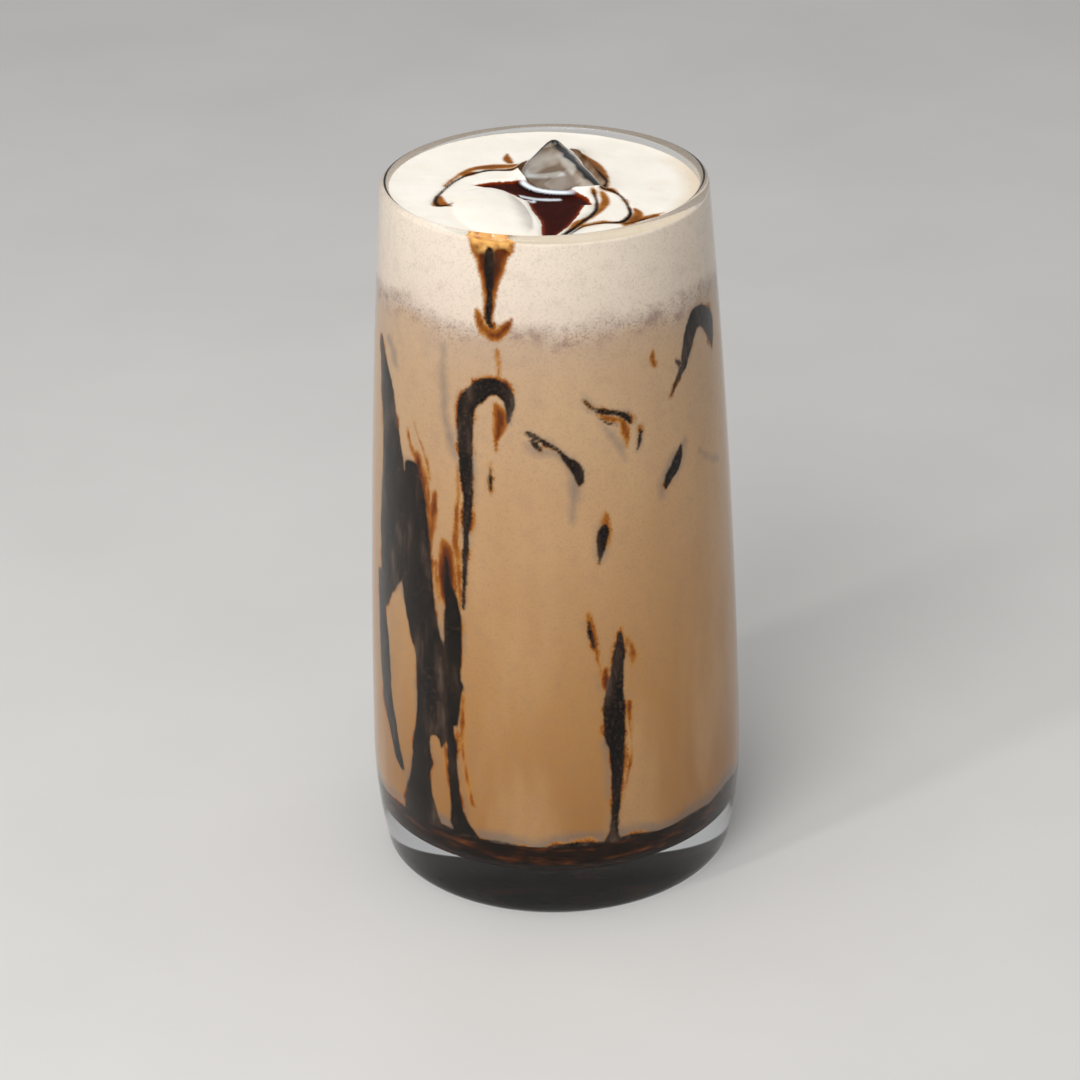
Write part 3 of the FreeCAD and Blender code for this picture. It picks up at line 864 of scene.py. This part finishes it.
def new_material(name):
    material = bpy.data.materials.new(name)
    material.use_nodes = True
    tree = material.node_tree
    tree.nodes.clear()
    output = tree.nodes.new("ShaderNodeOutputMaterial")
    shader = tree.nodes.new("ShaderNodeBsdfPrincipled")
    tree.links.new(shader.outputs[0], output.inputs["Surface"])
    return material, tree, shader, output


# ---------------------------------------------------------------- node groups


def centred_noise(tree, size, amount, detail=2.0, stretch=(1, 1, 1), seed=0.0):
    """Noise around 0, mostly within that amount."""
    noise_around_half = noise_value(tree, size, detail, stretch, seed)
    return maths(tree, "MULTIPLY", maths(tree, "SUBTRACT", noise_around_half, 0.5), amount * 5)


def veil_over(group, colour, dark, strength):
    """Milk over syrup: a soft blue-grey shade, also round the dark streaks in places."""
    soft = centred_noise(group, 2.5 * MM, 0.35, 3, seed=6)
    halo = maths(group, "ADD", dark, centred_noise(group, 8 * MM, 0.7, 1, seed=13))
    veil = maths(group, "ADD", maths(group, "MAXIMUM", field_value(group, "veil"), halo), soft)
    mask = maths(group, "MULTIPLY", smooth_step(group, veil, -1.1, 1.3), strength)
    return blend_colour(group, mask, colour, tone(104, 101, 99))


def amber_over(group, colour, dark, rough, thin):
    """Thin syrup, from pale amber to dark brown, which also rims the dark streaks in places."""
    rim = maths(group, "ADD", maths(group, "ADD", dark, 0.1), centred_noise(group, 6 * MM, 0.9, 1, seed=23))
    field = maths(group, "MAXIMUM", field_value(group, "amber"), rim)
    amber = maths(group, "ADD", field, rough)
    mask = smooth_step(group, amber, -0.35, 0.45)
    patches = centred_noise(group, 1.7 * MM, 0.22, 3, (1, 1, 0.35), 8)
    depth = maths(group, "ADD", maths(group, "DIVIDE", amber, AMBER_REACH * 1.4), patches)
    brown = colour_ramp(
        group,
        depth,
        [(0.0, tone(174, 120, 58)), (0.28, tone(148, 82, 16)), (0.6, tone(102, 44, 4)),
         (0.95, tone(48, 16, 3))],
    )
    glowing = colour_ramp(
        group, depth, [(0.0, tone(150, 92, 40)), (0.3, tone(206, 144, 74)), (0.7, tone(240, 182, 104))]
    )
    brown = blend_colour(group, thin, brown, glowing)
    return blend_colour(group, mask, colour, brown), mask


def dark_over(group, colour, dark):
    """Thick syrup: nearly black, clouded with milk, with a soft and slightly gritty edge."""
    mask = smooth_step(group, dark, -0.28, 0.3)
    clouds = noise_value(group, 3.5 * MM, 3, (1, 1, 0.3), 5)
    syrup = colour_ramp(
        group,
        clouds,
        [(0.34, tone(8, 4, 2)), (0.48, tone(17, 10, 6)), (0.57, tone(38, 25, 17)), (0.7, tone(78, 62, 52))],
    )
    grit = smooth_step(group, noise_value(group, 0.55 * MM, 2, seed=27), 0.52, 0.75)
    syrup = blend_colour(group, maths(group, "MULTIPLY", grit, 0.18), syrup, tone(136, 98, 66))
    return blend_colour(group, mask, colour, syrup), mask


def make_streak_group():
    """Syrup over milk: veil, then amber, then dark, each from its field, with uneven edges."""
    group, given, made = new_group(
        "syrup_over_milk",
        [("Milk", "NodeSocketColor"), ("Thin", "NodeSocketFloat"), ("Uneven", "NodeSocketFloat"),
         ("Veil", "NodeSocketFloat")],
        [("Color", "NodeSocketColor"), ("Syrup", "NodeSocketFloat")],
    )
    wander = centred_noise(group, 2.4 * MM, 0.2, 2)
    grit = centred_noise(group, 0.42 * MM, 0.12, 1, seed=3)
    rough = maths(group, "MULTIPLY", maths(group, "ADD", wander, grit), given.outputs["Uneven"])
    dark = maths(group, "ADD", field_value(group, "dark"), maths(group, "MULTIPLY", rough, 0.7))
    colour = veil_over(group, given.outputs["Milk"], dark, given.outputs["Veil"])
    colour, amber_mask = amber_over(group, colour, dark, rough, given.outputs["Thin"])
    colour, dark_mask = dark_over(group, colour, dark)
    group.links.new(colour, made.inputs["Color"])
    group.links.new(maths(group, "MAXIMUM", dark_mask, amber_mask), made.inputs["Syrup"])
    return group


def make_speckle_group():
    """Milk with a fine grain, soft blotches, pale clouds and dark specks."""
    group, given, made = new_group(
        "mottled_milk",
        [("Color", "NodeSocketColor"), ("Pores", "NodeSocketFloat"), ("Clouds", "NodeSocketFloat")],
        [("Color", "NodeSocketColor")],
    )
    drift = noise_value(group, 13 * MM, 3, (1, 1, 0.3), 21)
    clouds = maths(group, "MULTIPLY", smooth_step(group, drift, 0.4, 0.7), given.outputs["Clouds"])
    colour = blend_colour(group, clouds, given.outputs["Color"], tone(208, 172, 130))
    blotch = smooth_step(group, noise_value(group, 2.6 * MM, 3, seed=15), 0.46, 0.7)
    blotchy = maths(group, "MULTIPLY", given.outputs["Pores"], 0.55)
    shade = maths(group, "MULTIPLY", blotch, maths(group, "ADD", 0.05, blotchy))
    colour = blend_colour(group, shade, colour, tone(140, 112, 102))
    grain = smooth_step(group, noise_value(group, 0.42 * MM, 2, seed=11), 0.48, 0.7)
    specked = maths(group, "MULTIPLY", given.outputs["Pores"], 0.35)
    specks = maths(group, "MULTIPLY", grain, maths(group, "ADD", 0.12, specked))
    colour = blend_colour(group, specks, colour, tone(118, 90, 78))
    group.links.new(colour, made.inputs["Color"])
    return group


STREAK_GROUP = make_streak_group()
SPECKLE_GROUP = make_speckle_group()


def use_group(tree, group, inputs):
    made = tree.nodes.new("ShaderNodeGroup")
    made.node_tree = group
    for name, value in inputs.items():
        if isinstance(value, bpy.types.NodeSocket):
            tree.links.new(value, made.inputs[name])
        else:
            made.inputs[name].default_value = value
    return made


# ---------------------------------------------------------------- materials


# Where the foam's grey seam is, as a share of the height.
SEAM_SHARE = 0.866
SEAM_HALF_WIDTH = 0.026


def milk_by_height(tree):
    """The colour of the drink at the wall: tan below, paler above, and nearly white in the foam."""
    height = add_node(tree, "ShaderNodeSeparateXYZ", {0: object_place(tree)}).outputs["Z"]
    broad = centred_noise(tree, 11 * MM, 1.3 * MM, 3)
    uneven = maths(tree, "ADD", broad, centred_noise(tree, 1.2 * MM, 0.5 * MM, 3))
    share = maths(tree, "DIVIDE", maths(tree, "ADD", height, uneven), HEIGHT)
    stops = [
        (0.10, tone(156, 108, 58)),
        (0.32, tone(172, 126, 76)),
        (0.62, tone(187, 147, 106)),
        (0.80, tone(190, 157, 124)),
        (0.852, tone(188, 161, 137)),
        (0.866, tone(197, 176, 159)),
        (0.888, tone(226, 208, 190)),
        (0.985, tone(237, 221, 203)),
    ]
    return colour_ramp(tree, share, stops), share


def band_mask(tree, share, middle, half_width):
    """1 at a height and 0 a half width away from it."""
    off = maths(tree, "ABSOLUTE", maths(tree, "SUBTRACT", share, middle))
    return maths(tree, "SUBTRACT", 1.0, smooth_step(tree, off, 0.0, half_width), clamp=True)


def make_coffee_material():
    """Milk coffee, tan and faintly porous, with syrup on the wall."""
    material, tree, shader, _ = new_material("milk_coffee_streaked")
    milk, share = milk_by_height(tree)
    seam = band_mask(tree, share, SEAM_SHARE, SEAM_HALF_WIDTH)
    pores = maths(tree, "ADD", 0.1, maths(tree, "MULTIPLY", seam, 0.9))
    mottled = use_group(tree, SPECKLE_GROUP, {"Color": milk, "Pores": pores, "Clouds": 0.3})
    values = {"Milk": mottled.outputs["Color"], "Thin": 0.0, "Uneven": 1.0, "Veil": 0.6}
    streaked = use_group(tree, STREAK_GROUP, values)
    tree.links.new(streaked.outputs["Color"], shader.inputs["Base Color"])
    shader.inputs["Specular IOR Level"].default_value = 0.04
    shader.inputs["Roughness"].default_value = 0.4
    return material


def foam_top_colour(tree):
    """Cream, with painted shade: tan along the edge nearest the front right."""
    cream = colour_ramp(
        tree, noise_value(tree, 7 * MM, 3, seed=2), [(0.3, tone(244, 236, 222)), (0.7, tone(250, 244, 234))]
    )
    place = add_node(tree, "ShaderNodeSeparateXYZ", {0: object_place(tree)})
    level = {"X": place.outputs["X"], "Y": place.outputs["Y"]}
    flat = add_node(tree, "ShaderNodeCombineXYZ", level).outputs[0]
    out = add_node(tree, "ShaderNodeVectorMath", {0: flat}, operation="LENGTH").outputs["Value"]
    # Painted shade: the edge nearest the front right is darkened to tan.
    front = maths(tree, "SUBTRACT", place.outputs["X"], place.outputs["Y"])
    front = maths(tree, "MULTIPLY", smooth_step(tree, front, 0.0, 24 * MM), 0.6)
    edge = maths(tree, "MULTIPLY", smooth_step(tree, out, 22.5 * MM, 27.2 * MM), front)
    return blend_colour(tree, edge, cream, tone(214, 186, 146))


def foam_with_streaks(tree, upper):
    """The foam's side and top with syrup over them: the colour, and the mask of the syrup."""
    side, share = milk_by_height(tree)
    below = maths(tree, "SUBTRACT", 1.0, upper)
    pores = maths(tree, "MULTIPLY", band_mask(tree, share, SEAM_SHARE, SEAM_HALF_WIDTH), 0.9)
    pores = maths(tree, "MULTIPLY", maths(tree, "ADD", 0.08, pores), below)
    mottled = use_group(tree, SPECKLE_GROUP, {"Color": side, "Pores": pores, "Clouds": 0.0})
    base = blend_colour(tree, upper, mottled.outputs["Color"], foam_top_colour(tree))
    rising = maths(tree, "ADD", share, centred_noise(tree, 3 * MM, 0.008, 1, seed=61))
    lip = maths(tree, "MULTIPLY", smooth_step(tree, rising, 0.975, 0.99), below)
    lip = maths(tree, "ADD", lip, maths(tree, "MULTIPLY", upper, 0.1))
    uneven = maths(tree, "SUBTRACT", 1.0, maths(tree, "MULTIPLY", upper, 0.6))
    # On top, the veil is the swell's painted shade, at half strength.
    veil = maths(tree, "SUBTRACT", 0.6, maths(tree, "MULTIPLY", upper, 0.3))
    values = {"Milk": base, "Thin": lip, "Uneven": uneven, "Veil": veil}
    streaked = use_group(tree, STREAK_GROUP, values)
    return streaked.outputs["Color"], streaked.outputs["Syrup"]


def puddle_over(tree, colour):
    """Syrup in a pool: dark red, and amber where it runs thin."""
    wander = maths(tree, "SUBTRACT", noise_value(tree, 1.4 * MM, 3, seed=31), 0.5)
    puddle = maths(tree, "ADD", field_value(tree, "puddle"), maths(tree, "MULTIPLY", wander, 0.9))
    mask = smooth_step(tree, puddle, -0.15, 0.2)
    pool = colour_ramp(
        tree,
        maths(tree, "DIVIDE", puddle, FAR),
        [(0.0, tone(158, 80, 20)), (0.08, tone(122, 44, 6)), (0.26, tone(66, 12, 1)), (0.7, tone(22, 3, 1))],
    )
    return blend_colour(tree, mask, colour, pool), mask


def pit_over(tree, colour):
    """The hollow that the ice has melted, with a painted highlight and a painted shade line at its foot."""
    pit = field_value(tree, "pit")
    depth = maths(tree, "ADD", maths(tree, "DIVIDE", pit, FAR), centred_noise(tree, 4 * MM, 0.1, 1, seed=51))
    hollow = colour_ramp(
        tree,
        depth,
        [(0.0, tone(74, 46, 24)), (0.12, tone(120, 94, 70)), (0.35, tone(176, 162, 146)),
         (0.6, tone(206, 198, 188)), (0.95, tone(150, 134, 118))],
    )
    colour = blend_colour(tree, smooth_step(tree, pit, -0.1, 0.2), colour, hollow)
    # Painted shade: a dark line round the ice's foot. Painted highlight: a blue-white line and glints along
    # it.
    colour = blend_colour(tree, field_value(tree, "shade"), colour, tone(26, 12, 8))
    return blend_colour(tree, field_value(tree, "foot"), colour, tone(238, 246, 252))


def make_foam_material():
    """Foam: beige and porous at the wall, cream on top, with syrup, a puddle and the hollow of the ice."""
    material, tree, shader, _ = new_material("milk_foam_swirled")
    upper = field_value(tree, "upper")
    colour, syrup = foam_with_streaks(tree, upper)
    colour, puddle_mask = puddle_over(tree, colour)
    tree.links.new(pit_over(tree, colour), shader.inputs["Base Color"])
    wet = maths(tree, "MAXIMUM", syrup, puddle_mask)
    roughness = add_node(tree, "ShaderNodeMapRange", {"Value": wet, "To Min": 0.5, "To Max": 0.3})
    tree.links.new(roughness.outputs["Result"], shader.inputs["Roughness"])
    shader.inputs["Specular IOR Level"].default_value = 0.01
    coat = maths(tree, "MULTIPLY", maths(tree, "MULTIPLY", wet, upper), 0.07)
    tree.links.new(coat, shader.inputs["Coat Weight"])
    shader.inputs["Coat Roughness"].default_value = 0.05
    shader.inputs["Coat IOR"].default_value = 1.33
    dry = maths(tree, "SUBTRACT", 1.0, wet)
    dimples = maths(tree, "MULTIPLY", noise_value(tree, 0.5 * MM, 2, seed=41), dry)
    relief = {"Height": dimples, "Distance": 0.06 * MM, "Strength": 0.5}
    bump = add_node(tree, "ShaderNodeBump", relief)
    tree.links.new(bump.outputs["Normal"], shader.inputs["Normal"])
    return material


def make_syrup_material():
    """Settled syrup: nearly black, amber where light gets through its edge."""
    material, tree, shader, _ = new_material("settled_syrup_dark")
    swirl = noise_value(tree, 5 * MM, 4, (1, 1, 3.5), 17)
    colour = colour_ramp(
        tree,
        swirl,
        [(0.35, tone(16, 7, 2)), (0.52, tone(34, 15, 4)), (0.64, tone(74, 36, 8)), (0.8, tone(122, 64, 18))],
    )
    tree.links.new(colour, shader.inputs["Base Color"])
    rough = add_node(tree, "ShaderNodeMapRange", {"Value": swirl, "To Min": 0.12, "To Max": 0.3})
    tree.links.new(rough.outputs["Result"], shader.inputs["Roughness"])
    shader.inputs["Specular IOR Level"].default_value = 0.04
    return material


def make_lip_material():
    """A syrup film thin enough to glow amber."""
    material, tree, shader, _ = new_material("lip_syrup_amber")
    patches = noise_value(tree, 1.6 * MM, 3, seed=9)
    colour = colour_ramp(
        tree, patches, [(0.3, tone(240, 186, 110)), (0.55, tone(224, 158, 78)), (0.75, tone(168, 92, 30))]
    )
    tree.links.new(colour, shader.inputs["Base Color"])
    rough = add_node(tree, "ShaderNodeMapRange", {"Value": patches, "To Min": 0.05, "To Max": 0.2})
    tree.links.new(rough.outputs["Result"], shader.inputs["Roughness"])
    return material


def make_clear_material(name, colour, ior, roughness, ripple_size, ripple_depth, coat=0.0):
    """Clear glass or ice that lamps and bounced light pass through, with a faint ripple in its surface."""
    material, tree, shader, output = new_material(name)
    shader.inputs["Base Color"].default_value = colour
    shader.inputs["IOR"].default_value = ior
    shader.inputs["Transmission Weight"].default_value = 1.0
    shader.inputs["Roughness"].default_value = roughness
    shader.inputs["Specular Tint"].default_value = (0.3, 0.3, 0.3, 1)
    shader.inputs["Coat Weight"].default_value = coat
    shader.inputs["Coat Roughness"].default_value = 0.03
    relief = {"Height": noise_value(tree, ripple_size, 1), "Distance": ripple_depth, "Strength": 1.0}
    ripple = add_node(tree, "ShaderNodeBump", relief)
    tree.links.new(ripple.outputs["Normal"], shader.inputs["Normal"])
    path = tree.nodes.new("ShaderNodeLightPath")
    passing = maths(tree, "MAXIMUM", path.outputs["Is Shadow Ray"], path.outputs["Is Diffuse Ray"])
    clear = add_node(tree, "ShaderNodeBsdfTransparent", {"Color": colour})
    mixed = add_node(tree, "ShaderNodeMixShader", {0: passing, 1: shader.outputs[0], 2: clear.outputs[0]})
    tree.links.new(mixed.outputs[0], output.inputs["Surface"])
    return material


def make_ice_material():
    """Clear ice, faintly brown inside, with painted shade along its ridges and a wet shine."""
    tint = (0.85, 0.83, 0.8, 1)
    material = make_clear_material("melting_ice", tint, 1.31, 0.02, 5 * MM, 0.1 * MM, coat=1.0)
    tree = material.node_tree
    shader = next(node for node in tree.nodes if node.type == "BSDF_PRINCIPLED")
    ridge = maths(tree, "ADD", field_value(tree, "ridge"), centred_noise(tree, 3 * MM, 0.06, 1, seed=71))
    # Painted shade: nearly black along the ridges, for the dark outlines of the ice's edges.
    dark = smooth_step(tree, ridge, 0.82, 0.92)
    clouds = smooth_step(tree, noise_value(tree, 4 * MM, 1, seed=73), 0.4, 0.65)
    clear = blend_colour(tree, clouds, (0.5, 0.4, 0.3, 1), (0.94, 0.93, 0.92, 1))
    tree.links.new(blend_colour(tree, dark, clear, (0.0005, 0.0008, 0.0014, 1)), shader.inputs["Base Color"])
    return material


def finish(piece, material, slot, *nodes):
    piece.data.materials.append(material)
    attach(piece, "root")
    if nodes:
        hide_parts(*nodes)
    return piece


# ---------------------------------------------------------------- the object


def build_drink():
    outline = glass_outline()
    radii, heights = [r for r, _ in outline], [z for _, z in outline]
    glass = ring_solid("glass_tumbler", spin(radii, heights, even_angles(GLASS_SEGMENTS)))
    finish(
        glass,
        make_clear_material("clear_glass", (0.985, 0.99, 0.988, 1), 1.5, 0.0, 30 * MM, 0.012 * MM),
        "clear_glass",
        "tumbler",
    )
    syrup = make_layer("syrup_pool", BASE_THICKNESS - BITE, SYRUP_LEVEL, DRINK_SEGMENTS, tucked=False)
    finish(syrup, make_syrup_material(), "dark_syrup", "settled_syrup")
    coffee = make_layer("streaked_coffee", SYRUP_LEVEL, FOAM_BASE, DRINK_SEGMENTS)
    finish(coffee, make_coffee_material(), "milk_coffee", "milk_coffee")
    finish(make_foam(), make_foam_material(), "milk_foam", "milk_foam")
    finish(make_ice(), make_ice_material(), "clear_ice", "ice_cube")
    finish(make_lip_syrup(), make_lip_material(), "dark_syrup")
    finish(
        make_bubbles(),
        make_clear_material("bubble_film", (0.98, 0.97, 0.95, 1), 1.2, 0.02, 1 * MM, 0.01 * MM),
        "milk_foam",
    )


# ---------------------------------------------------------------- the studio

CAMERA_TARGET = Vector((-2.3, 0, 61.2)) * MM
CAMERA_DISTANCE = 634 * MM
CAMERA_DROP = math.radians(26.3)
CAMERA_ROLL = math.radians(-1.4)
CAMERA_LENS = 114.6


def add_camera():
    back = Vector((0, -math.cos(CAMERA_DROP), math.sin(CAMERA_DROP)))
    side = Vector((1, 0, 0))
    up = back.cross(side)
    right = side * math.cos(CAMERA_ROLL) + up * math.sin(CAMERA_ROLL)
    turned_up = up * math.cos(CAMERA_ROLL) - side * math.sin(CAMERA_ROLL)
    data = bpy.data.cameras.new("camera")
    data.lens = CAMERA_LENS
    data.sensor_width = 36
    data.clip_start = 0.05
    camera = bpy.data.objects.new("camera", data)
    pose = Matrix((right, turned_up, back)).transposed().to_4x4()
    pose.translation = CAMERA_TARGET + back * CAMERA_DISTANCE
    camera.matrix_world = pose
    bpy.context.scene.collection.objects.link(camera)
    bpy.context.scene.camera = camera


def add_softbox(name, bearing, elevation, distance, width, height, power):
    """A soft lamp aimed at the middle of the glass; bearing runs from the front towards the right."""
    data = bpy.data.lights.new(name, "AREA")
    data.shape = "RECTANGLE"
    data.size, data.size_y = width, height
    data.energy = power
    lamp = bpy.data.objects.new(name, data)
    turn, lift = math.radians(bearing), math.radians(elevation)
    direction = Vector((math.sin(turn) * math.cos(lift), -math.cos(turn) * math.cos(lift), math.sin(lift)))
    lamp.location = Vector((0, 0, HEIGHT / 2)) + direction * distance
    lamp.rotation_euler = direction.to_track_quat("Z", "Y").to_euler()
    bpy.context.scene.collection.objects.link(lamp)


def add_floor():
    """A plain pale floor that keeps the drink's shadow."""
    size = 4.0
    drop = -0.03 * MM
    corners = [(-size, -size, drop), (size, -size, drop), (size, size, drop), (-size, size, drop)]
    floor = mesh_object("floor", corners, [(0, 1, 2, 3)])
    material, tree, shader, output = new_material("floor")
    pale = colour_ramp(
        tree, noise_value(tree, 60 * MM, 3), [(0.3, tone(215, 213, 210)), (0.7, tone(220, 218, 215))]
    )
    tree.links.new(pale, shader.inputs["Base Color"])
    shader.inputs["Roughness"].default_value = 0.7
    shader.inputs["Specular IOR Level"].default_value = 0.1
    floor.data.materials.append(material)


def light_world():
    """An even soft light all round, the same whichever way it is seen."""
    world = bpy.data.worlds.new("studio")
    bpy.context.scene.world = world
    world.use_nodes = True
    background = world.node_tree.nodes["Background"]
    background.inputs["Color"].default_value = (0.98, 0.99, 1.0, 1)
    background.inputs["Strength"].default_value = 0.4


def build_studio():
    add_camera()
    add_floor()
    light_world()
    add_softbox("key", -24, 38, 0.9, 0.45, 0.45, 4.4)
    add_softbox("strip", -52, 44, 0.9, 0.05, 0.4, 1.0)
    add_softbox("overhead", -60, 80, 0.8, 0.5, 0.5, 1.5)
    bpy.context.scene.view_settings.view_transform = "Standard"


build_drink()
build_studio()
